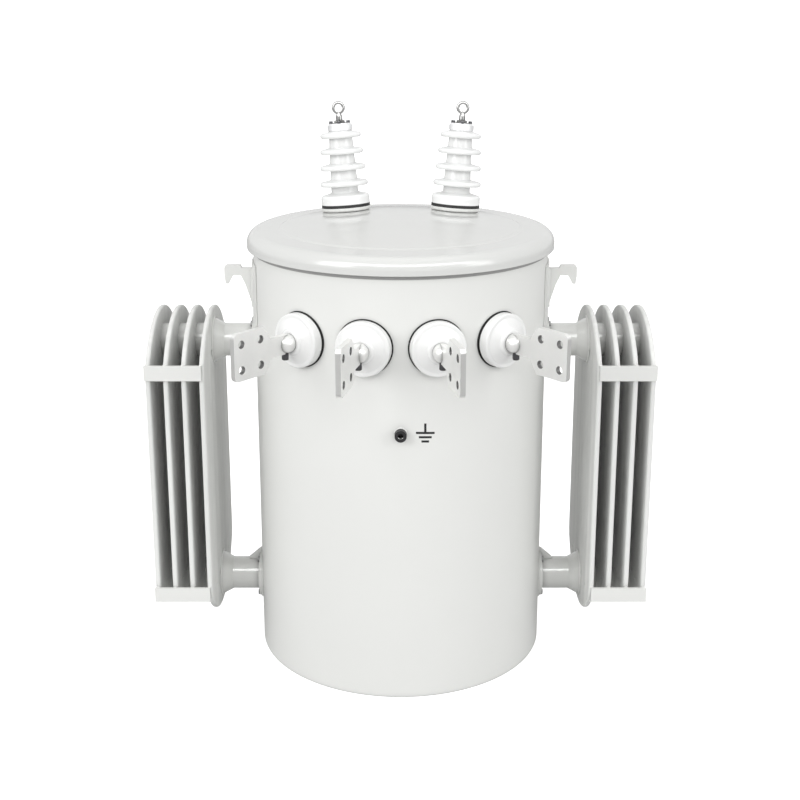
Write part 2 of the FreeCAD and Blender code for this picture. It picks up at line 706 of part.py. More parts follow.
def panel(name, panel_foot, pierced):
    """One pressed panel: arched ends, rounded edges and upright grooves between its flutes."""
    bend_foot = panel_foot + bend_drop
    body = plate(name, "YZ_Plane", [
        (half_width, panel_top - arch),
        (bend, bend_top, corner),
        (-bend, bend_top, arch_radius),
        (-half_width, panel_top - arch, corner),
        (-half_width, panel_foot + arch),
        (-bend, bend_foot, corner),
        (bend, bend_foot, arch_radius),
        (half_width, panel_foot + arch, corner),
    ], cell("panel_thick"))
    doc.recompute()
    rim_edges = [f"Edge{number}" for number, edge in enumerate(body.Shape.Edges, start=1)
                 if edge.BoundBox.XLength < 0.001]
    pressed = body.Tip
    rounding = body.newObject("PartDesign::Fillet", name + "_rounding")
    rounding.Base = (pressed, rim_edges)
    bind(rounding, Radius=cell("panel_edge_round"))

    # A groove on each face, on the sketch's own level half-way up; the pattern repeats it.
    middle, first = (panel_foot + panel_top) / 2, cell("panel_flute_pitch") * (1 - GROOVES) / 2
    mouth, floor = cell("panel_groove") / 2, cell("panel_groove_floor") / 2
    deep = half_thick - cell("panel_groove_deep")
    pockets = []
    for face, sign in (("in", -1), ("out", 1)):
        groove = outline(body, "XY_Plane", [
            (deep * sign, first - floor),
            (deep * sign, first + floor),
            ((half_thick + 1) * sign, first + mouth),
            ((half_thick + 1) * sign, first - mouth),
        ], f"{name}_groove_{face}")
        groove.AttachmentOffset = FreeCAD.Placement(FreeCAD.Vector(0, 0, middle.value),
                                                    FreeCAD.Rotation())
        groove.setExpression("AttachmentOffset.Base.z", middle.text)
        pocket = body.newObject("PartDesign::Pocket", f"{name}_press_{face}")
        pocket.Profile = groove
        pocket.SideType = "Symmetric"
        bind(pocket, Length=panel_top - panel_foot - arch * 1.4)
        doc.recompute()
        pattern = body.newObject("PartDesign::LinearPattern", f"{name}_row_{face}")
        pattern.Originals = [pocket]
        pattern.Direction = (groove, ["V_Axis"])
        bind(pattern, Length=cell("panel_flute_pitch") * (GROOVES - 1))
        pattern.Occurrences = GROOVES
        body.Tip = pattern
        doc.recompute()
        pockets.append(pattern)
    if pierced:
        drill(body, "YZ_Plane", [(0, level, pipe_hole) for _, level, _ in levels],
              name + "_header_holes")
    return body


def on_side(shape_object, sign, at=(0, 0, 0)):
    """Leave a piece on the right, or turn it half round to the left."""
    return place(shape_object, [size(value) * sign for value in at[:2]] + [at[2]], Z_AXIS,
                 0 if sign > 0 else 180)


for side, sign in sides:
    for number, centre in enumerate(panel_x, start=1):
        foot_level = inner_foot if number == 1 else inner_foot + cell("panel_short")
        pressed = panel(f"radiator_{side}_{number}", foot_level, number < PANELS)
        keep(on_side(pressed, sign, (centre, 0, 0)), f"radiator_{side}_panel_{number}")

    flanges = []
    for name, level, up in levels:
        # Header pipe: from the shell, flared against the inner panel, on to the outer panel.
        start, end = tank_radius - 20, panel_x[-1] - half_thick
        flare_start = inner_face - cell("header_flare_long")
        tube = turned(f"header_{side}_{name}_tube", [
            (start, cell("header_bore")),
            (start, pipe),
            (flare_start, pipe),
            (inner_face, cell("header_flare")),
            (inner_face, pipe),
            (end, pipe),
            (end, cell("header_bore")),
        ], "XZ_Plane", "H_Axis")
        curve = shell_cutter(f"header_{side}_{name}_curve")
        place(curve, (0, 0, -shell_top))
        header = cut(f"header_{side}_{name}", tube, curve)
        bind(curve, Height=shell_top * 2)
        keep(on_side(header, sign, (0, 0, level)), f"radiator_{side}_{name}_header")

        # Weld flange round the pipe at the shell, with a gusset on the side nearer mid-height.
        ring = rod(f"flange_{side}_{name}_ring", cell("header_collar"),
                   cell("header_collar_thick") + 20, (tank_radius - 20, 0, 0), Y_AXIS, 90)
        web = plate(f"flange_{side}_{name}_gusset", "XZ_Plane", [
            (tank_radius - 8, pipe_hole - 2),
            (tank_radius + cell("header_collar_thick") + cell("gusset"), pipe_hole - 2),
            (tank_radius + cell("header_collar_thick") + cell("gusset"), pipe_hole + 2),
            (tank_radius + 4, pipe_hole + cell("gusset")),
            (tank_radius - 8, pipe_hole + cell("gusset")),
        ], cell("gusset_thick"))
        if up > 0:
            place(web, (0, 0, 0), X_AXIS, 180)
        passage = rod(f"flange_{side}_{name}_passage", pipe_hole, 200, (tank_radius - 60, 0, 0),
                      Y_AXIS, 90)
        trim = rod(f"flange_{side}_{name}_curve", outside, 400, (0, 0, -200))
        flange_piece = cut(f"flange_{side}_{name}",
                           joined(f"flange_{side}_{name}_blank", [ring, web]),
                           joined(f"flange_{side}_{name}_tools", [passage, trim]))
        flanges.append(on_side(flange_piece, sign, (0, 0, level)))
    keep(group(f"flanges_{side}", flanges), f"radiator_{side}_flanges")

    bars = []
    bar_start, bar_end = inner_face + cell("bar_inset"), outer_face + cell("bar_past")
    for name, level, up in levels:
        for face, reach in (("front", -half_width - cell("bar_thick")), ("back", half_width)):
            bar = block(f"bar_{side}_{name}_{face}",
                        (bar_end - bar_start, cell("bar_thick"), cell("bar_height")),
                        (bar_start if sign > 0 else -bar_end, reach,
                         level - cell("bar_from_header") * up + cell("bar_rise")
                         - cell("bar_height") / 2))
            bars.append(bar)
    keep(group(f"bars_{side}", bars), f"radiator_{side}_bars")

# ---------------------------------------------------------------- ground connection
# Round boss with a threaded hole, welded low on the front.
ground_height = lv_height - cell("ground_drop")
ground_back = tank_radius - 10
boss = rod("ground_round", cell("ground_radius"), cell("ground_long") + 10,
           (0, -ground_back, ground_height), X_AXIS, 90)
ground_hole = rod("ground_thread", cell("ground_bore"), cell("ground_bore_deep") + 10,
                  (0, -(tank_radius + cell("ground_long") - cell("ground_bore_deep")),
                   ground_height), X_AXIS, 90)
keep(cut("ground_cut", boss, joined("ground_tools", [ground_hole, shell_cutter("ground_curve")])),
     "ground_boss")

# ---------------------------------------------------------------- hanger brackets
# Two welded brackets at the back: a face plate with an upright slot, on two side webs.
face_out = tank_radius + cell("hanger_reach")
half_span = cell("hanger_web_span") / 2
for name, level in (("lower", cell("hanger_low")),
                    ("upper", shell_top - cell("hanger_drop"))):
    half_wide, half_high = cell("hanger_width") / 2, cell("hanger_height") / 2
    face = plate(f"hanger_{name}_face", "XZ_Plane", [
        (half_wide, -half_high), (half_wide, half_high),
        (-half_wide, half_high), (-half_wide, -half_high)], cell("hanger_plate"))
    slot_radius = cell("hanger_slot_radius")
    slot_reach = cell("hanger_slot") / 2 - slot_radius
    slot_start = face_out - cell("hanger_plate") * 2
    slot = [rod(f"hanger_{name}_slot_{end}", slot_radius, cell("hanger_plate") * 3,
                (0, slot_start, level + slot_reach * turn), X_AXIS, -90)
            for end, turn in (("foot", -1), ("head", 1))]
    slot.append(block(f"hanger_{name}_slot_middle",
                      (slot_radius * 2, cell("hanger_plate") * 3, slot_reach * 2),
                      (-slot_radius, slot_start, level - slot_reach)))
    place(face, (0, face_out - cell("hanger_plate") / 2, level))
    webs = [block(f"hanger_{name}_web_{number}",
                  (cell("hanger_web"), cell("hanger_reach") - cell("hanger_plate") / 2 + 20,
                   cell("hanger_height")),
                  (half_span * turn - cell("hanger_web") / 2, tank_radius - 20,
                   level - half_high))
            for number, turn in ((1, -1), (2, 1))]
    tools = joined(f"hanger_{name}_tools", slot + [shell_cutter(f"hanger_{name}_curve")])
    keep(cut(f"hanger_{name}", joined(f"hanger_{name}_blank", [face] + webs), tools),
         f"hanger_bracket_{name}")

# ---------------------------------------------------------------- check and write
doc.recompute()
failed = [item.Name for item in doc.Objects if {"Invalid", "Error"} & set(item.State)]
if failed:
    raise SystemExit("not built: " + ", ".join(failed))
for node in nodes:
    if node.Shape.isNull() or not node.Shape.isValid():
        raise SystemExit("bad shape: " + node.Label)
os.makedirs("parts", exist_ok=True)
for node in nodes:
    node.Shape.exportStep(f"parts/{node.Label}.step")
    print(f"{node.Label}: {len(node.Shape.Solids)} solid, {node.Shape.Volume / 1000:.1f} cm3")
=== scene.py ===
"""Single-phase distribution transformer: finishes and small fittings round the CAD pieces."""
import math
import bpy
from mathutils import Matrix, Vector


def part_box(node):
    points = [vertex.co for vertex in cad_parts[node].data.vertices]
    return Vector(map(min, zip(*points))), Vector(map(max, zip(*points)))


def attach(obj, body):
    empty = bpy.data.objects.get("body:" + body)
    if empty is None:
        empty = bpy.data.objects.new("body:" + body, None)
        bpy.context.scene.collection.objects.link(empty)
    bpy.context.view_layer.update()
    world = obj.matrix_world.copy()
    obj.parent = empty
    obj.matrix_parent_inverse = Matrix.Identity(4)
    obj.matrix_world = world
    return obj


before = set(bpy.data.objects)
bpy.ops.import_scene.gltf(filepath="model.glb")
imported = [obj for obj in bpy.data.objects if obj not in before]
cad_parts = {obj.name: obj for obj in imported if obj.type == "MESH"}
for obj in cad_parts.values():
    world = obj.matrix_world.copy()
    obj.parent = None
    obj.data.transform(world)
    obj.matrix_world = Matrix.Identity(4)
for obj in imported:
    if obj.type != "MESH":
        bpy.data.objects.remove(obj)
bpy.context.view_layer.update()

# ------------------------------------------------------------------ studio
# A white sweep lit like a catalogue table: a big soft window on the left, a weaker one on the
# right, a long strip high in front and a faint one overhead. The room is dimmer than the sweep,
# and glossy coats mirror one bright tube in it.
scene = bpy.context.scene
scene.view_settings.view_transform = "Standard"
scene.view_settings.look = "None"

TANK_RADIUS = 0.275
FOCAL_PIXELS, FRAME_PIXELS, SENSOR = 1330.89, 800, 36.0
EYE, DOWNWARD = (0, -2.455357, 1.275185), 15.2779
camera_data = bpy.data.cameras.new("camera")
camera_data.sensor_width = SENSOR
camera_data.lens = SENSOR * FOCAL_PIXELS / FRAME_PIXELS
camera_data.shift_x, camera_data.shift_y = -0.00078, -0.075
camera_data.clip_end = 900
camera = bpy.data.objects.new("camera", camera_data)
scene.collection.objects.link(camera)
camera.matrix_world = (Matrix.Translation(EYE)
                       @ Matrix.Rotation(math.radians(90 - DOWNWARD), 4, "X"))
scene.camera = camera


def soft_window(name, place, aim, wide, high, watts):
    """A rectangular soft light that faces a point."""
    light = bpy.data.lights.new(name, "AREA")
    light.shape, light.size, light.size_y, light.energy = "RECTANGLE", wide, high, watts
    lamp = bpy.data.objects.new(name, light)
    scene.collection.objects.link(lamp)
    lamp.location = place
    lamp.rotation_euler = (Vector(aim) - Vector(place)).to_track_quat("-Z", "Y").to_euler()


soft_window("window_left", (-3.3, -2.9, 2.3), (0, 0, 0.6), 2.2, 2.2, 60)
soft_window("window_right", (3.7, -2.3, 2.0), (0, 0, 0.7), 1.6, 2.2, 37)
soft_window("window_top", (0, 0.3, 3.8), (0, 0.3, 0.7), 2.6, 2.2, 9)
soft_window("strip_front", (0, -3.1, 2.75), (0, 0, 0.4), 2.2, 0.4, 12)


def wire(tree, kind, sockets=(), **settings):
    """A node with its settings, and its inputs set to values or joined to other outputs."""
    node = tree.nodes.new(kind)
    for label, value in settings.items():
        setattr(node, label, value)
    for socket, value in dict(sockets).items():
        if isinstance(value, bpy.types.NodeSocket):
            tree.links.new(value, node.inputs[socket])
        else:
            node.inputs[socket].default_value = value
    return node


WHITE = (1, 1, 1, 1)
WALLS = {"From Min": -0.3, "From Max": 0.8, "To Min": 0.95, "To Max": 0.60}
TUBE_EDGES = (("Z", 0.50, 0.57, 0, 1), ("Z", 0.68, 0.75, 1, 0), ("Y", -0.5, -0.3, 1, 0))
TUBE_BRIGHTNESS, MIRRORED_SHARE = 12.0, 0.55
world = bpy.data.worlds.new("room")
scene.world = world
world.use_nodes = True
room = world.node_tree
room.nodes.clear()
compass = wire(room, "ShaderNodeTexCoord")
heading = wire(room, "ShaderNodeSeparateXYZ", {0: compass.outputs["Generated"]})
walls = wire(room, "ShaderNodeMapRange", {"Value": heading.outputs["Y"], **WALLS})
glow = wire(room, "ShaderNodeBackground", {"Color": WHITE, "Strength": walls.outputs[0]})
band = 1.0
for axis, start, end, at_start, at_end in TUBE_EDGES:
    edge = wire(room, "ShaderNodeMapRange", {
        "Value": heading.outputs[axis], "From Min": start, "From Max": end,
        "To Min": at_start, "To Max": at_end})
    band = wire(room, "ShaderNodeMath", {0: band, 1: edge.outputs[0]},
                operation="MULTIPLY").outputs[0]
tube = wire(room, "ShaderNodeMath", {0: band, 1: TUBE_BRIGHTNESS, 2: 1.0},
            operation="MULTIPLY_ADD")
seen = wire(room, "ShaderNodeBackground", {"Color": WHITE, "Strength": tube.outputs[0]})
path = wire(room, "ShaderNodeLightPath")
mirrored = wire(room, "ShaderNodeMath", {
    0: path.outputs["Is Glossy Ray"], 1: MIRRORED_SHARE}, operation="MULTIPLY")
bright = wire(room, "ShaderNodeMath", {
    0: path.outputs["Is Camera Ray"], 1: mirrored.outputs[0]}, operation="MAXIMUM")
pick = wire(room, "ShaderNodeMixShader", {
    "Fac": bright.outputs[0], 1: glow.outputs[0], 2: seen.outputs[0]})
wire(room, "ShaderNodeOutputWorld", {"Surface": pick.outputs[0]})

FLOOR_TONE, FLOOR_LIFT = 0.57, 0.9
floor_mesh = bpy.data.meshes.new("floor")
floor_mesh.from_pydata([(-300, -30, 0), (300, -30, 0), (300, 600, 0), (-300, 600, 0)], [],
                       [(0, 1, 2, 3)])
floor = bpy.data.objects.new("floor", floor_mesh)
scene.collection.objects.link(floor)
floor_paint = bpy.data.materials.new("floor_paint")
floor_paint.use_nodes = True
floor_tree = floor_paint.node_tree
sweep = floor_tree.nodes["Principled BSDF"]
sweep.inputs["Base Color"].default_value = (FLOOR_TONE, FLOOR_TONE, FLOOR_TONE, 1)
sweep.inputs["Roughness"].default_value = 0.9
sweep.inputs["Specular IOR Level"].default_value = 0.1
sweep.inputs["Emission Color"].default_value = WHITE
floor_sees = wire(floor_tree, "ShaderNodeLightPath")
floor_lift = wire(floor_tree, "ShaderNodeMath", {
    0: floor_sees.outputs["Is Camera Ray"], 1: FLOOR_LIFT}, operation="MULTIPLY")
floor_tree.links.new(floor_lift.outputs[0], sweep.inputs["Emission Strength"])
floor_mesh.materials.append(floor_paint)

# ------------------------------------------------------------------ tank
# Rolled steel shell with a plate welded in its foot. It is blasted, primed and sprayed with a
# light grey gloss enamel, which dries with a faint orange peel and a slow drift in tone.


def effect(name, inputs, outputs):
    """An empty node group with named sockets, and its two end nodes."""
    group = bpy.data.node_groups.new(name, "ShaderNodeTree")
    for label, kind, value in inputs:
        group.interface.new_socket(label, in_out="INPUT", socket_type=kind).default_value = value
    for label, kind in outputs:
        group.interface.new_socket(label, in_out="OUTPUT", socket_type=kind)
    return group, group.nodes.new("NodeGroupInput"), group.nodes.new("NodeGroupOutput")


NUMBER, COLOUR = "NodeSocketFloat", "NodeSocketColor"

# Slow change of tone and gloss across a coated surface.
tone_drift, drift_in, drift_out = effect("tone_drift", [
    ("Color", COLOUR, (0.8, 0.8, 0.8, 1)), ("Amount", NUMBER, 0.04), ("Size", NUMBER, 4.0),
    ("Roughness", NUMBER, 0.3), ("Gloss Change", NUMBER, 0.05)],
    [("Color", COLOUR), ("Roughness", NUMBER)])
where = wire(tone_drift, "ShaderNodeTexCoord")
cloud = wire(tone_drift, "ShaderNodeTexNoise", {
    "Vector": where.outputs["Object"], "Scale": drift_in.outputs["Size"], "Detail": 5.0,
    "Roughness": 0.6})
centred = wire(tone_drift, "ShaderNodeMath", {0: cloud.outputs["Fac"], 1: 0.5},
               operation="SUBTRACT")
shift = wire(tone_drift, "ShaderNodeMath", {
    0: centred.outputs[0], 1: drift_in.outputs["Amount"], 2: 1.0}, operation="MULTIPLY_ADD")
tinted = wire(tone_drift, "ShaderNodeVectorMath", {
    0: drift_in.outputs["Color"], "Scale": shift.outputs[0]}, operation="SCALE")
dulled = wire(tone_drift, "ShaderNodeMath", {
    0: centred.outputs[0], 1: drift_in.outputs["Gloss Change"], 2: drift_in.outputs["Roughness"]},
    operation="MULTIPLY_ADD")
tone_drift.links.new(tinted.outputs[0], drift_out.inputs["Color"])
tone_drift.links.new(dulled.outputs[0], drift_out.inputs["Roughness"])

# Fine ripple of a sprayed, glazed or cast skin, as a height.
skin_ripple, ripple_in, ripple_out = effect("skin_ripple", [
    ("Coarse", NUMBER, 120.0), ("Fine", NUMBER, 900.0), ("Fine Share", NUMBER, 0.3)],
    [("Height", NUMBER)])
where = wire(skin_ripple, "ShaderNodeTexCoord")
broad = wire(skin_ripple, "ShaderNodeTexNoise", {
    "Vector": where.outputs["Object"], "Scale": ripple_in.outputs["Coarse"], "Detail": 1.0})
grit = wire(skin_ripple, "ShaderNodeTexNoise", {
    "Vector": where.outputs["Object"], "Scale": ripple_in.outputs["Fine"], "Detail": 2.0})
height = wire(skin_ripple, "ShaderNodeMix", {
    "Factor": ripple_in.outputs["Fine Share"], "A": broad.outputs["Fac"],
    "B": grit.outputs["Fac"]}, data_type="FLOAT")
skin_ripple.links.new(height.outputs["Result"], ripple_out.inputs["Height"])

# Dust that settles on faces turned up, in patches.
settled_dust, dust_in, dust_out = effect("settled_dust", [
    ("Color", COLOUR, (0.8, 0.8, 0.8, 1)), ("Dust Color", COLOUR, (0.62, 0.6, 0.56, 1)),
    ("Roughness", NUMBER, 0.3), ("Amount", NUMBER, 0.1)],
    [("Color", COLOUR), ("Roughness", NUMBER)])
facing = wire(settled_dust, "ShaderNodeNewGeometry")
parts = wire(settled_dust, "ShaderNodeSeparateXYZ", {0: facing.outputs["Normal"]})
upward = wire(settled_dust, "ShaderNodeMapRange", {
    "Value": parts.outputs["Z"], "From Min": 0.25, "From Max": 0.95})
where = wire(settled_dust, "ShaderNodeTexCoord")
patch = wire(settled_dust, "ShaderNodeTexNoise", {
    "Vector": where.outputs["Object"], "Scale": 14.0, "Detail": 7.0, "Roughness": 0.7})
patches = wire(settled_dust, "ShaderNodeMapRange", {
    "Value": patch.outputs["Fac"], "From Min": 0.35, "From Max": 0.75})
lying = wire(settled_dust, "ShaderNodeMath", {
    0: upward.outputs[0], 1: patches.outputs[0]}, operation="MULTIPLY")
share = wire(settled_dust, "ShaderNodeMath", {
    0: lying.outputs[0], 1: dust_in.outputs["Amount"]}, operation="MULTIPLY")
dusty = wire(settled_dust, "ShaderNodeMix", {
    "Factor": share.outputs[0], "A": dust_in.outputs["Color"],
    "B": dust_in.outputs["Dust Color"]}, data_type="RGBA")
matt = wire(settled_dust, "ShaderNodeMix", {
    "Factor": share.outputs[0], "A": dust_in.outputs["Roughness"], "B": 0.85},
    data_type="FLOAT")
settled_dust.links.new(dusty.outputs[2], dust_out.inputs["Color"])
settled_dust.links.new(matt.outputs["Result"], dust_out.inputs["Roughness"])

# Painted shade: colour darkened in holes, under edges and in inner corners, where a surface sees
# little of the room.
held_painted_shade, painted_shade_in, painted_shade_out = effect("held_painted_shade", [
    ("Color", COLOUR, (0.8, 0.8, 0.8, 1)), ("Shade Color", COLOUR, (0.03, 0.03, 0.03, 1)),
    ("Reach", NUMBER, 0.01), ("Amount", NUMBER, 0.5)],
    [("Color", COLOUR)])
openness = wire(held_painted_shade, "ShaderNodeAmbientOcclusion", {
    "Distance": painted_shade_in.outputs["Reach"]}, samples=8)
hidden = wire(held_painted_shade, "ShaderNodeMapRange", {
    "Value": openness.outputs["AO"], "From Min": 0.5, "From Max": 0.95, "To Min": 1.0,
    "To Max": 0.0})
share = wire(held_painted_shade, "ShaderNodeMath", {
    0: hidden.outputs[0], 1: painted_shade_in.outputs["Amount"]}, operation="MULTIPLY")
shaded_colour = wire(held_painted_shade, "ShaderNodeMix", {
    "Factor": share.outputs[0], "A": painted_shade_in.outputs["Color"],
    "B": painted_shade_in.outputs["Shade Color"]}, data_type="RGBA")
held_painted_shade.links.new(shaded_colour.outputs[2], painted_shade_out.inputs["Color"])


def coated(name, colour, roughness, drift=0.05, drift_size=4.0, gloss_change=0.08, dust=0.0,
           painted_shade=0.0, painted_shade_reach=0.01, coarse=120.0, fine=900.0, fine_share=0.3, bump=0.05,
           bump_depth=0.0004, **shader):
    """A material made from the shared effects round one Principled shader."""
    material = bpy.data.materials.new(name)
    material.use_nodes = True
    tree = material.node_tree
    surface = tree.nodes["Principled BSDF"]
    tones = wire(tree, "ShaderNodeGroup", node_tree=tone_drift)
    for label, value in (("Color", (*colour, 1)), ("Amount", drift), ("Size", drift_size),
                         ("Roughness", roughness), ("Gloss Change", gloss_change)):
        tones.inputs[label].default_value = value
    last = tones
    if dust:
        last = wire(tree, "ShaderNodeGroup", node_tree=settled_dust)
        last.inputs["Amount"].default_value = dust
        for label in ("Color", "Roughness"):
            tree.links.new(tones.outputs[label], last.inputs[label])
    tree.links.new(last.outputs["Roughness"], surface.inputs["Roughness"])
    # Painted shade: the colour is darkened in holes and inner corners.
    if painted_shade:
        corners = wire(tree, "ShaderNodeGroup", node_tree=held_painted_shade)
        corners.inputs["Reach"].default_value = painted_shade_reach
        corners.inputs["Amount"].default_value = painted_shade
        tree.links.new(last.outputs["Color"], corners.inputs["Color"])
        last = corners
    tree.links.new(last.outputs["Color"], surface.inputs["Base Color"])
    ripple = wire(tree, "ShaderNodeGroup", node_tree=skin_ripple)
    for label, value in (("Coarse", coarse), ("Fine", fine), ("Fine Share", fine_share)):
        ripple.inputs[label].default_value = value
    relief = wire(tree, "ShaderNodeBump", {
        "Strength": bump, "Distance": bump_depth, "Height": ripple.outputs["Height"]})
    tree.links.new(relief.outputs["Normal"], surface.inputs["Normal"])
    for label, value in shader.items():
        surface.inputs[label.replace("_", " ")].default_value = value
    return material


def dress(material, *names):
    """Give CAD pieces their finish."""
    for name in names:
        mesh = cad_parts[name].data
        mesh.materials.clear()
        mesh.materials.append(material)


# Painted shade: the enamel is darkened in inner corners and along weld feet.
enamel = coated("grey_enamel", (0.77, 0.775, 0.755), 0.34, drift=0.04, dust=0.05, bump=0.10,
                painted_shade=0.20, painted_shade_reach=0.010, bump_depth=0.0005, coarse=160.0,
                Coat_Weight=0.3, Coat_Roughness=0.18, Specular_IOR_Level=0.35)
dress(enamel, "tank_shell", "tank_bottom")

RIPPLE, RIPPLE_STEPS, BEAD_SIDES = 0.003, 3, 8
RIPPLE_LOW, RIPPLE_RISE, END_TAPER, STEEP = 0.86, 0.2, 0.45, 0.98


def bead_run(points, closed, radius, rippled=True):
    """Vertices and faces of a bead along a line; a hand-laid weld bead has a row of ripples."""
    line = [Vector(point) for point in points]
    if closed:
        line.append(line[0].copy())
    spans = [(b - a).length for a, b in zip(line, line[1:])]
    count = max(2, round(sum(spans) / RIPPLE)) * RIPPLE_STEPS
    walk, index, spent = [], 0, 0.0
    for step in range(count if closed else count + 1):
        reach = sum(spans) * step / count
        while index < len(spans) - 1 and spent + spans[index] < reach:
            spent += spans[index]
            index += 1
        share = (reach - spent) / spans[index]
        walk.append(line[index].lerp(line[index + 1], min(1.0, share)))
    vertices, faces, total = [], [], len(walk)
    for step, point in enumerate(walk):
        ahead = walk[(step + 1) % total] if closed or step + 1 < total else point
        behind = walk[step - 1] if closed or step else point
        along = (ahead - behind).normalized()
        across = along.orthogonal() if abs(along.z) > STEEP else along.cross(Vector((0, 0, 1)))
        across.normalize()
        rise = along.cross(across)
        swell = radius
        if rippled:
            wave = abs(math.sin(math.pi * step / RIPPLE_STEPS + 0.4))
            swell *= RIPPLE_LOW + RIPPLE_RISE * wave
        if not closed and step in (0, total - 1):
            swell *= END_TAPER
        for side in range(BEAD_SIDES):
            turn = math.tau * side / BEAD_SIDES
            vertices.append(point + (across * math.cos(turn) + rise * math.sin(turn)) * swell)
    for step in range(total if closed else total - 1):
        a, b = step * BEAD_SIDES, (step + 1) % total * BEAD_SIDES
        for side in range(BEAD_SIDES):
            near = (side + 1) % BEAD_SIDES
            faces.append((a + side, a + near, b + near, b + side))
    if not closed:
        faces.append(tuple(range(BEAD_SIDES - 1, -1, -1)))
        faces.append(tuple((total - 1) * BEAD_SIDES + side for side in range(BEAD_SIDES)))
    return vertices, faces


SHARP_FROM = 38


def piece(name, shells, material):
    """One object from a list of (vertices, faces) or (vertices, faces, matrix) shells."""
    vertices, faces = [], []
    for shell in shells:
        first = len(vertices)
        move = shell[2] if len(shell) > 2 else Matrix.Identity(4)
        vertices += [tuple(move @ Vector(vertex)) for vertex in shell[0]]
        faces += [tuple(first + corner for corner in face) for face in shell[1]]
    mesh = bpy.data.meshes.new(name)
    mesh.from_pydata(vertices, [], faces)
    mesh.polygons.foreach_set("use_smooth", [True] * len(mesh.polygons))
    mesh.set_sharp_from_angle(angle=math.radians(SHARP_FROM))
    mesh.materials.append(material)
    made = bpy.data.objects.new(name, mesh)
    scene.collection.objects.link(made)
    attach(made, "root")
    return made


def on_shell(azimuth, height, out=0.0):
    """A point on the shell; the azimuth is in degrees round from the front, to the right."""
    turn = math.radians(azimuth)
    radius = TANK_RADIUS + out
    return Vector((radius * math.sin(turn), -radius * math.cos(turn), height))


SHELL_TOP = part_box("tank_shell")[1].z
SEAM_AZIMUTH, SEAM_STEPS, SEAM_SINK, SEAM_BEAD = 152, 60, 0.0012, 0.0028
SEAM_FOOT, SEAM_SHORTER = 0.004, 0.010
seam = [on_shell(SEAM_AZIMUTH, SEAM_FOOT + (SHELL_TOP - SEAM_SHORTER) * step / SEAM_STEPS,
                 -SEAM_SINK) for step in range(SEAM_STEPS + 1)]
piece("shell_seam_weld", [bead_run(seam, False, SEAM_BEAD)], enamel)

# ------------------------------------------------------------------ cover
# Pressed steel cover on a cork-rubber gasket, drawn down over the shell's top flange. It gets the
# same enamel, flowed thicker, so that it shines more, in a tone darker than the shell's: painted
# shade. The bushings' gaskets are black nitrile.
cover_enamel = coated("cover_enamel", (0.66, 0.665, 0.65), 0.22, drift=0.03, dust=0.03,
                      bump=0.03, coarse=60.0, Coat_Weight=0.6, Coat_Roughness=0.12)
dress(cover_enamel, "tank_cover")
nitrile = coated("nitrile", (0.012, 0.012, 0.012), 0.55, drift=0.4, drift_size=30.0, bump=0.2,
                 coarse=400.0, fine=2500.0)
dress(nitrile, "hv_gaskets", "lv_gaskets")
cork = coated("cork_rubber", (0.32, 0.32, 0.315), 0.7, drift=0.3, drift_size=40.0, bump=0.3,
              coarse=300.0, fine=1500.0)
dress(cork, "cover_gasket")

# ------------------------------------------------------------------ high-voltage bushings
# Glazed white porcelain with four sheds, clamped by a cast cap with four screws. The terminal is
# a plated brass eye; its shank is locked by a thin hexagon nut.
# Painted shade: the glaze is darkened where the sheds meet the stem.
glaze = coated("porcelain_glaze", (0.88, 0.885, 0.88), 0.26, drift=0.03, drift_size=18.0,
               painted_shade=0.20, painted_shade_reach=0.014, bump=0.05, coarse=60.0, fine=500.0,
               Coat_Weight=0.35, Coat_Roughness=0.06)
cast_metal = coated("cast_cap_metal", (0.88, 0.885, 0.89), 0.5, drift=0.08, drift_size=40.0,
                    bump=0.25, coarse=500.0, fine=1800.0, Metallic=0.85)
# Painted reflection: the plated brass is given a dark tone for the dark reflections it shows.
# Painted shade darkens it in holes and inner corners.
plated = coated("plated_brass", (0.42, 0.42, 0.415), 0.22, drift=0.3, drift_size=90.0,
                painted_shade=0.8, painted_shade_reach=0.010, bump=0.04, Metallic=1.0)
screw_steel = coated("screw_steel", (0.10, 0.10, 0.105), 0.38, drift=0.2, drift_size=90.0,
                     bump=0.1, Metallic=1.0)
for side in ("left", "right"):
    dress(glaze, f"hv_{side}_porcelain")
    dress(enamel, f"hv_{side}_collar")
    dress(cast_metal, f"hv_{side}_cap")
    dress(plated, f"hv_{side}_terminal")


HEX_POINTS, HEX_CROWN, HEX_TOP, HEX_TRIM = 12, 0.18, 0.9, 0.93


def hexagon(across, high):
    """A hexagon head or nut on the XY plane, with its corners turned off at the top."""
    corner = across / math.sqrt(3)
    vertices = []
    for level, reach in ((0, 1.0), (high * (1 - HEX_CROWN), 1.0), (high, HEX_TOP)):
        for step in range(HEX_POINTS):
            turn = math.tau * step / HEX_POINTS
            full = corner if step % 2 == 0 else across / 2
            radius = full if reach == 1.0 else min(full, corner * reach * HEX_TRIM)
            vertices.append((radius * math.cos(turn), radius * math.sin(turn), level))
    faces = [tuple(range(HEX_POINTS - 1, -1, -1)), tuple(range(2 * HEX_POINTS, 3 * HEX_POINTS))]
    for ring in (0, HEX_POINTS):
        for step in range(HEX_POINTS):
            near = (step + 1) % HEX_POINTS
            faces.append((ring + step, ring + near, ring + HEX_POINTS + near,
                          ring + HEX_POINTS + step))
    return vertices, faces


def turned(profile, sides):
    """A solid turned about Z from (radius, height) points, closed at both ends."""
    vertices = [(radius * math.cos(math.tau * side / sides),
                 radius * math.sin(math.tau * side / sides), level)
                for radius, level in profile for side in range(sides)]
    faces = [tuple(range(sides - 1, -1, -1)),
             tuple((len(profile) - 1) * sides + side for side in range(sides))]
    for ring in range(len(profile) - 1):
        for side in range(sides):
            near = (side + 1) % sides
            faces.append((ring * sides + side, ring * sides + near,
                          (ring + 1) * sides + near, (ring + 1) * sides + side))
    return vertices, faces


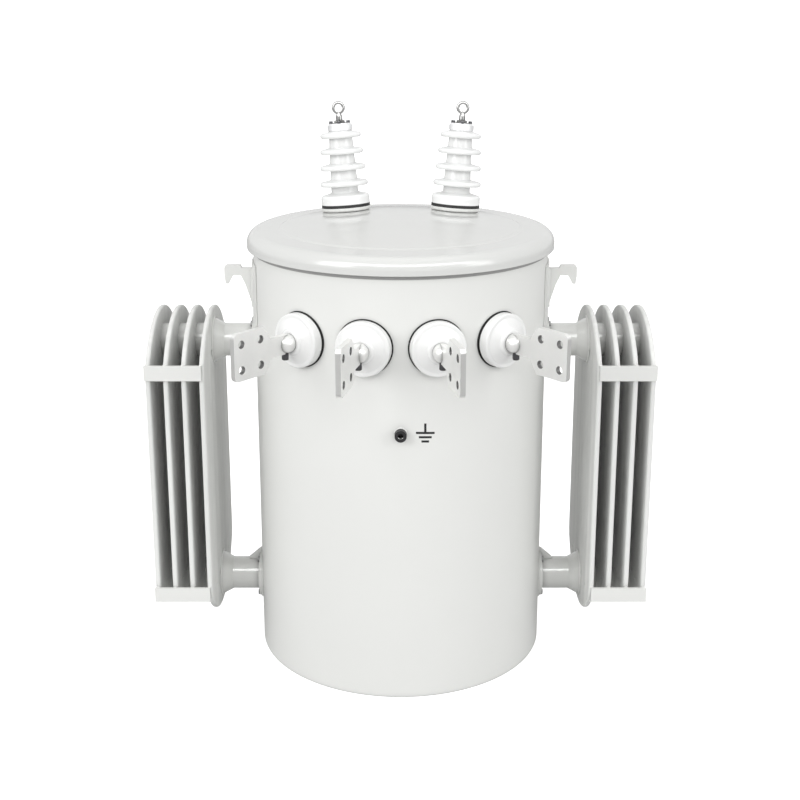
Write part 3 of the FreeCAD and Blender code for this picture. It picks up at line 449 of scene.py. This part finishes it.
HV_CIRCLE, HV_AZIMUTH, DOME, APEX = 0.160, 41.5, 1.5, 0.8435
CAP_TOP, CAP_SCREW_CIRCLE, CAP_SCREW_SINK, CAP_SCREW_TURN = 0.168, 0.0165, 0.0002, 0.4
CAP_WASHER = ((0.0046, 0), (0.0046, 0.0008), (0.0043, 0.001))
CAP_SCREW_ACROSS, CAP_SCREW_HIGH, CAP_SCREW_SEAT = 0.0070, 0.0040, 0.001
NUT_WASHER = ((0.0118, 0), (0.0118, 0.0011), (0.0113, 0.0014))
NUT_ACROSS, NUT_HIGH, NUT_SEAT = 0.0190, 0.0042, 0.0014
lean = math.asin(HV_CIRCLE / DOME)
for side, sign in (("left", -1), ("right", 1)):
    round_z = math.radians(HV_AZIMUTH) * -sign
    foot = Matrix.Translation((
        HV_CIRCLE * math.sin(math.radians(HV_AZIMUTH)) * sign,
        HV_CIRCLE * math.cos(math.radians(HV_AZIMUTH)),
        APEX - DOME + DOME * math.cos(lean)))
    upright = foot @ Matrix.Rotation(round_z, 4, "Z") @ Matrix.Rotation(-lean, 4, "X")
    screws = []
    for quarter in range(4):
        turn = math.radians(90 * quarter) - round_z
        at = upright @ Matrix.Translation((CAP_SCREW_CIRCLE * math.cos(turn),
                                           CAP_SCREW_CIRCLE * math.sin(turn),
                                           CAP_TOP - CAP_SCREW_SINK))
        spin = Matrix.Rotation(CAP_SCREW_TURN * quarter, 4, "Z")
        screws.append((*turned(CAP_WASHER, 20), at))
        screws.append((*hexagon(CAP_SCREW_ACROSS, CAP_SCREW_HIGH),
                       at @ Matrix.Translation((0, 0, CAP_SCREW_SEAT)) @ spin))
    piece(f"hv_{side}_cap_screws", screws, screw_steel)
    nut = upright @ Matrix.Translation((0, 0, CAP_TOP))
    piece(f"hv_{side}_lock_nut", [
        (*turned(NUT_WASHER, 28), nut),
        (*hexagon(NUT_ACROSS, NUT_HIGH), nut @ Matrix.Translation((0, 0, NUT_SEAT)))],
        plated)

# ------------------------------------------------------------------ low-voltage bushings
# Moulded white epoxy cones, each drawn against its gasket on the shell. A tin-plated spade with
# four holes slides over the stud and is pinched by one hexagon screw from below.
epoxy = coated("moulded_epoxy", (0.85, 0.853, 0.845), 0.26, drift=0.03, drift_size=20.0,
               bump=0.05, coarse=90.0, Coat_Weight=0.5, Coat_Roughness=0.06)
# Painted shade: the tinned metal is darkened in its holes and where the spade meets its hub.
tinned = coated("tinned_metal", (0.90, 0.90, 0.885), 0.34, drift=0.07, drift_size=45.0,
                painted_shade=0.95, painted_shade_reach=0.016, bump=0.10, coarse=260.0, fine=1600.0, Metallic=0.70)
# Painted shade: the outward end faces of each spade are darkened towards a dull grey.
SHADED_END_FROM, SHADED_END_SHARE, SHADED_END_TONE = 0.40, 0.55, (0.33, 0.33, 0.325, 1)
tree = tinned.node_tree
surface = tree.nodes["Principled BSDF"]
faces_way = wire(tree, "ShaderNodeNewGeometry")
place = wire(tree, "ShaderNodeTexCoord")
level = wire(tree, "ShaderNodeVectorMath", {0: place.outputs["Object"], 1: (1, 1, 0)},
             operation="MULTIPLY")
outward = wire(tree, "ShaderNodeVectorMath", {0: level.outputs[0]}, operation="NORMALIZE")
turned_out = wire(tree, "ShaderNodeVectorMath", {
    0: outward.outputs[0], 1: faces_way.outputs["Normal"]}, operation="DOT_PRODUCT")
end_face = wire(tree, "ShaderNodeMapRange", {
    "Value": turned_out.outputs["Value"], "From Min": 0.75, "From Max": 0.95})
far_out = wire(tree, "ShaderNodeVectorMath", {0: level.outputs[0]}, operation="LENGTH")
at_end = wire(tree, "ShaderNodeMath", {0: far_out.outputs["Value"], 1: SHADED_END_FROM},
              operation="GREATER_THAN")
shaded_end = wire(tree, "ShaderNodeMath", {0: end_face.outputs[0], 1: at_end.outputs[0]},
               operation="MULTIPLY")
end_shade = wire(tree, "ShaderNodeMath", {0: shaded_end.outputs[0], 1: SHADED_END_SHARE},
            operation="MULTIPLY")
end_shaded = wire(tree, "ShaderNodeMix", {
    "Factor": end_shade.outputs[0], "A": surface.inputs["Base Color"].links[0].from_socket,
    "B": SHADED_END_TONE}, data_type="RGBA")
tree.links.new(end_shaded.outputs[2], surface.inputs["Base Color"])

LV_STEP, LV_HEIGHT = 26.1, 0.6645
HUB_MIDDLE, HUB_RADIUS, HUB_FLAT = 0.3155, 0.0165, 0.001
CLAMP_BOSS = ((0.0060, 0), (0.0060, 0.0045), (0.0055, 0.0052))
CLAMP_ACROSS, CLAMP_HIGH, CLAMP_SEAT = 0.0110, 0.0085, 0.0045
LIP_RADIUS, LIP_BEAD, LIP_OUT, LIP_STEPS = 0.0490, 0.0012, 0.0004, 72
for number in range(1, 5):
    dress(epoxy, f"lv_bushing_{number}")
    dress(tinned, f"lv_spade_{number}")
    azimuth = LV_STEP * (number - 2.5)
    under = (Matrix.Translation(on_shell(azimuth, LV_HEIGHT - HUB_RADIUS + HUB_FLAT,
                                         HUB_MIDDLE - TANK_RADIUS))
             @ Matrix.Rotation(math.radians(azimuth), 4, "Z")
             @ Matrix.Rotation(math.pi, 4, "X"))
    piece(f"lv_clamp_screw_{number}", [
        (*turned(CLAMP_BOSS, 24), under),
        (*hexagon(CLAMP_ACROSS, CLAMP_HIGH), under @ Matrix.Translation((0, 0, CLAMP_SEAT)))],
        screw_steel)
    lip = []
    for step in range(LIP_STEPS):
        turn = math.tau * step / LIP_STEPS
        round_tank = azimuth + math.degrees(math.asin(LIP_RADIUS * math.cos(turn) / TANK_RADIUS))
        lip.append(on_shell(round_tank, LV_HEIGHT + LIP_RADIUS * math.sin(turn), LIP_OUT))
    piece(f"lv_gasket_lip_{number}", [bead_run(lip, True, LIP_BEAD, rippled=False)], nitrile)

# ------------------------------------------------------------------ lifting lugs
# Hooked lugs cut from plate, each welded down both sides to a curved doubler that is itself
# welded round its edge to the shell.
dress(enamel, "lug_pads", "lifting_lug_left", "lifting_lug_right")
pad_low, pad_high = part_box("lug_pads")[0].z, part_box("lug_pads")[1].z
PAD_HALF_ANGLE, PAD_OUT, PAD_BEAD, PAD_STEPS, PAD_SIDE_STEPS = 16.0, 0.0012, 0.0014, 24, 6
LUG_SIDE, LUG_ROOT, LUG_BEAD, LUG_STEPS = 0.0064, 0.0044, 0.0030, 8
LUG_WELD_FOOT, LUG_WELD_LONG = 0.003, 0.0745
for side, middle in (("left", -90), ("right", 90)):
    start, sweep_angle, rise = middle - PAD_HALF_ANGLE, 2 * PAD_HALF_ANGLE, pad_high - pad_low
    rim = [on_shell(start + sweep_angle * step / PAD_STEPS, pad_low, PAD_OUT)
           for step in range(PAD_STEPS + 1)]
    rim += [on_shell(start + sweep_angle, pad_low + rise * step / PAD_SIDE_STEPS, PAD_OUT)
            for step in range(1, PAD_SIDE_STEPS)]
    rim += [on_shell(start + sweep_angle - sweep_angle * step / PAD_STEPS, pad_high, PAD_OUT)
            for step in range(PAD_STEPS + 1)]
    rim += [on_shell(start, pad_high - rise * step / PAD_SIDE_STEPS, PAD_OUT)
            for step in range(1, PAD_SIDE_STEPS)]
    weld_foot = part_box(f"lifting_lug_{side}")[0].z + LUG_WELD_FOOT
    root = math.copysign(TANK_RADIUS + LUG_ROOT, middle)
    seams = [bead_run(rim, True, PAD_BEAD)]
    for edge in (-LUG_SIDE, LUG_SIDE):
        seams.append(bead_run([(root, edge, weld_foot + LUG_WELD_LONG * step / LUG_STEPS)
                               for step in range(LUG_STEPS + 1)], False, LUG_BEAD))
    piece(f"lug_{side}_welds", seams, enamel)

# ------------------------------------------------------------------ radiators
# Four oil panels a side, each pressed from two thin sheets and seam-welded, threaded on an upper
# and a lower header pipe. Flat bars tie their edges; each pipe ends in a bolted flange.
# Painted shade: the panel enamel is darkened deep in the gaps between panels.
panel_enamel = coated("panel_enamel", (0.76, 0.765, 0.75), 0.50, drift=0.06, drift_size=6.0,
                      dust=0.06, painted_shade=0.08, painted_shade_reach=0.030, bump=0.10,
                      Specular_IOR_Level=0.25)
# Painted shade: the pipe enamel is darkened where pipes meet flanges, panels and the shell.
pipe_enamel = coated("pipe_enamel", (0.72, 0.725, 0.705), 0.34, drift=0.04, dust=0.05, bump=0.06,
                     painted_shade=0.45, painted_shade_reach=0.016, coarse=160.0, Coat_Weight=1.0,
                     Coat_Roughness=0.06)

# Faint upright bands of lighter and darker tone: coat runs on the pipes, and on the panels coat
# runs with painted shade that stands in for the shading of their flutes.
runs_and_flute_shade, runs_in, runs_out = effect("runs_and_flute_shade", [
    ("Color", COLOUR, (0.8, 0.8, 0.8, 1)), ("Width", NUMBER, 30.0), ("Amount", NUMBER, 0.2)],
    [("Color", COLOUR)])
where = wire(runs_and_flute_shade, "ShaderNodeTexCoord")
drawn = wire(runs_and_flute_shade, "ShaderNodeVectorMath", {0: where.outputs["Object"], 1: (0.4, 1, 0.03)},
             operation="MULTIPLY")
bands = wire(runs_and_flute_shade, "ShaderNodeTexNoise", {
    "Vector": drawn.outputs[0], "Scale": runs_in.outputs["Width"], "Detail": 3.0,
    "Roughness": 0.6})
middle = wire(runs_and_flute_shade, "ShaderNodeMath", {0: bands.outputs["Fac"], 1: 0.5},
              operation="SUBTRACT")
depth = wire(runs_and_flute_shade, "ShaderNodeMath", {
    0: middle.outputs[0], 1: runs_in.outputs["Amount"], 2: 1.0}, operation="MULTIPLY_ADD")
streaked = wire(runs_and_flute_shade, "ShaderNodeVectorMath", {
    0: runs_in.outputs["Color"], "Scale": depth.outputs[0]}, operation="SCALE")
runs_and_flute_shade.links.new(streaked.outputs[0], runs_out.inputs["Color"])
# On the panels the bands are stronger, as painted shade of the flutes.
PANEL_RUNS, PIPE_RUNS = 0.45, 0.15
for finish, amount in ((panel_enamel, PANEL_RUNS), (pipe_enamel, PIPE_RUNS)):
    tree = finish.node_tree
    colour_in = tree.nodes["Principled BSDF"].inputs["Base Color"]
    runs = wire(tree, "ShaderNodeGroup", node_tree=runs_and_flute_shade)
    runs.inputs["Amount"].default_value = amount
    tree.links.new(colour_in.links[0].from_socket, runs.inputs["Color"])
    tree.links.new(runs.outputs["Color"], colour_in)
# Painted shade: the flange bolts get a grey darker than the flange enamel and are darkened hard
# round their feet.
bolt_paint = coated("bolt_paint", (0.50, 0.505, 0.50), 0.4, dust=0.06, painted_shade=0.85,
                    painted_shade_reach=0.02, bump=0.1)
PANEL_X, PANEL_PITCH, PANEL_HALF = 0.360, 0.0326, 0.0045
HEADER_LEVELS = (0.606, 0.122)
PIPE_RADIUS, FLANGE_RADIUS, FLANGE_FACE = 0.0315, 0.045, 0.280
CONE_RADIUS, WELD_OFF, CIRCLE_STEPS = 0.0436, 0.0006, 48
FLANGE_OFF, SHELL_OFF, SADDLE_STEPS = 0.0005, 0.0004, 64
BOLT_CIRCLE, BOLT_ANGLES, BOLT_TURN = 0.0385, (66, 114, 246, 294), 0.3
BOLT_ACROSS, BOLT_HIGH = 0.0100, 0.0042
BAR_LEVELS, BAR_HALF, BAR_FACE, TACK_HALF = (0.585, 0.149), 0.0142, 0.1552, 0.0035
PIPE_BEAD, CONE_BEAD, SADDLE_BEAD, TACK_BEAD = 0.0022, 0.0020, 0.0026, 0.0016


def pipe_circle(x, radius, level):
    """Points round a header pipe, at one distance from the tank's middle."""
    turns = [math.tau * step / CIRCLE_STEPS for step in range(CIRCLE_STEPS)]
    return [(x, radius * math.cos(turn), level + radius * math.sin(turn)) for turn in turns]


for side, sign in (("left", -1), ("right", 1)):
    dress(panel_enamel, *[f"radiator_{side}_panel_{number}" for number in range(1, 5)])
    dress(pipe_enamel, f"radiator_{side}_upper_header", f"radiator_{side}_lower_header")
    dress(enamel, f"radiator_{side}_flanges", f"radiator_{side}_bars")
    seams, bolts = [], []
    for level in HEADER_LEVELS:
        seams.append(bead_run(pipe_circle(sign * (FLANGE_FACE + WELD_OFF),
                                          PIPE_RADIUS + WELD_OFF, level), True, PIPE_BEAD))
        seams.append(bead_run(pipe_circle(sign * (PANEL_X - PANEL_HALF - WELD_OFF),
                                          CONE_RADIUS, level), True, CONE_BEAD))
        saddle, reach = [], FLANGE_RADIUS + FLANGE_OFF
        for step in range(SADDLE_STEPS):
            turn = math.tau * step / SADDLE_STEPS
            y = reach * math.cos(turn)
            saddle.append((sign * (math.sqrt(TANK_RADIUS ** 2 - y * y) + SHELL_OFF), y,
                           level + reach * math.sin(turn)))
        seams.append(bead_run(saddle, True, SADDLE_BEAD))
        for corner, angle in enumerate(BOLT_ANGLES):
            turn = math.radians(angle)
            at = (Matrix.Translation((sign * FLANGE_FACE, BOLT_CIRCLE * math.cos(turn),
                                      level + BOLT_CIRCLE * math.sin(turn)))
                  @ Matrix.Rotation(math.radians(90 * sign), 4, "Y")
                  @ Matrix.Rotation(BOLT_TURN * corner, 4, "Z"))
            bolts.append((*hexagon(BOLT_ACROSS, BOLT_HIGH), at))
    piece(f"radiator_{side}_welds", seams, enamel)
    piece(f"radiator_{side}_flange_bolts", bolts, bolt_paint)
    tacks = []
    for level in BAR_LEVELS:
        for y in (-BAR_FACE, BAR_FACE):
            for number in range(4):
                x = sign * (PANEL_X + PANEL_PITCH * number)
                for z in (level - BAR_HALF, level + BAR_HALF):
                    tacks.append(bead_run([(x - TACK_HALF, y, z), (x + TACK_HALF, y, z)],
                                          False, TACK_BEAD))
    piece(f"radiator_{side}_bar_welds", tacks, enamel)

# ------------------------------------------------------------------ ground connection
# Round steel boss with a threaded hole, welded on the front; an earth mark is stencilled beside
# it in black enamel.
black_enamel = coated("black_enamel", (0.015, 0.015, 0.016), 0.4, drift=0.2, bump=0.05)
dress(black_enamel, "ground_boss")
BOSS_HEIGHT, BOSS_RADIUS, BOSS_FACE, BOSS_BEAD, BOSS_STEPS = 0.5105, 0.0105, 0.289, 0.0018, 40
boss_ring, reach = [], BOSS_RADIUS + SHELL_OFF
for step in range(BOSS_STEPS):
    turn = math.tau * step / BOSS_STEPS
    x = reach * math.cos(turn)
    boss_ring.append((x, -math.sqrt(TANK_RADIUS ** 2 - x * x) - SHELL_OFF,
                      BOSS_HEIGHT + reach * math.sin(turn)))
piece("ground_boss_weld", [bead_run(boss_ring, True, BOSS_BEAD)], enamel)

THREAD_PITCH, THREAD_TURNS, THREAD_STEPS, THREAD_START = 0.00195, 5, 24, 0.0012
THREAD_SECTION = ((0.0056, -0.0008), (0.0047, 0.0), (0.0056, 0.0008))
ridge = []
for step in range(THREAD_TURNS * THREAD_STEPS + 1):
    turn = math.tau * step / THREAD_STEPS
    depth = -BOSS_FACE + THREAD_START + THREAD_PITCH * step / THREAD_STEPS
    for radius, back in THREAD_SECTION:
        ridge.append((radius * math.cos(turn), depth + back,
                      BOSS_HEIGHT + radius * math.sin(turn)))
ridge_faces = [(0, 1, 2), (len(ridge) - 1, len(ridge) - 2, len(ridge) - 3)]
for step in range(THREAD_TURNS * THREAD_STEPS):
    for side in range(3):
        a, b = step * 3 + side, step * 3 + (side + 1) % 3
        ridge_faces.append((a, a + 3, b + 3, b))
piece("ground_thread", [(ridge, ridge_faces)], plated)

MARK_X, MARK_HIGH, STROKE, MARK_FALL = 0.0428, 0.5135, 0.0039, 0.055
MARK_STEM, MARK_ROW, MARK_HALVES = 0.0155, 0.0078, (0.0163, 0.0112, 0.0066)
PAINT_OUT, PAINT_IN = 0.00012, -0.0004


def stroke(left, right, low, high):
    """A painted bar on the shell, as a thin closed plate that follows its curve."""
    steps, vertices, faces = 8, [], []
    for step in range(steps + 1):
        x = left + (right - left) * step / steps
        for out in (PAINT_OUT, PAINT_IN):
            y = -math.sqrt((TANK_RADIUS + out) ** 2 - x * x)
            fall = (x - MARK_X) * MARK_FALL
            vertices += [(x, y, low - fall), (x, y, high - fall)]
    for step in range(steps):
        a, b = step * 4, step * 4 + 4
        faces += [(a, b, b + 1, a + 1), (a + 1, b + 1, b + 3, a + 3),
                  (a + 3, b + 3, b + 2, a + 2), (a + 2, b + 2, b, a)]
    faces += [(0, 1, 3, 2), (steps * 4, steps * 4 + 2, steps * 4 + 3, steps * 4 + 1)]
    return vertices, faces


mark = [stroke(MARK_X - STROKE / 2, MARK_X + STROKE / 2, MARK_HIGH, MARK_HIGH + MARK_STEM)]
for row, half in enumerate(MARK_HALVES):
    low = MARK_HIGH - MARK_ROW * row
    mark.append(stroke(MARK_X - half, MARK_X + half, low - STROKE, low))
piece("earth_mark", mark, black_enamel)

# ------------------------------------------------------------------ hanger brackets
# Folded-plate brackets for the pole bolts: a slotted face on two webs, welded to the shell and
# along the inside of each fold.
dress(enamel, "hanger_bracket_lower", "hanger_bracket_upper")
WEB_X, WEB_HALF, WEB_ROOT, FOLD_INSIDE, WELD_END = 0.032, 0.0036, 0.0006, 0.0086, 0.002
ROOT_BEAD, FOLD_BEAD, WEB_STEPS = 0.0026, 0.0020, 8
for name in ("lower", "upper"):
    low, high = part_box(f"hanger_bracket_{name}")
    tall = high.z - low.z - 2 * WELD_END
    seams = []
    for web in (-WEB_X, WEB_X):
        for x in (web - WEB_HALF, web + WEB_HALF):
            root = math.sqrt(TANK_RADIUS ** 2 - x * x) + WEB_ROOT
            for y, bead in ((root, ROOT_BEAD), (high.y - FOLD_INSIDE, FOLD_BEAD)):
                seams.append(bead_run([(x, y, low.z + WELD_END + tall * step / WEB_STEPS)
                                       for step in range(WEB_STEPS + 1)], False, bead))
    piece(f"hanger_{name}_welds", seams, enamel)
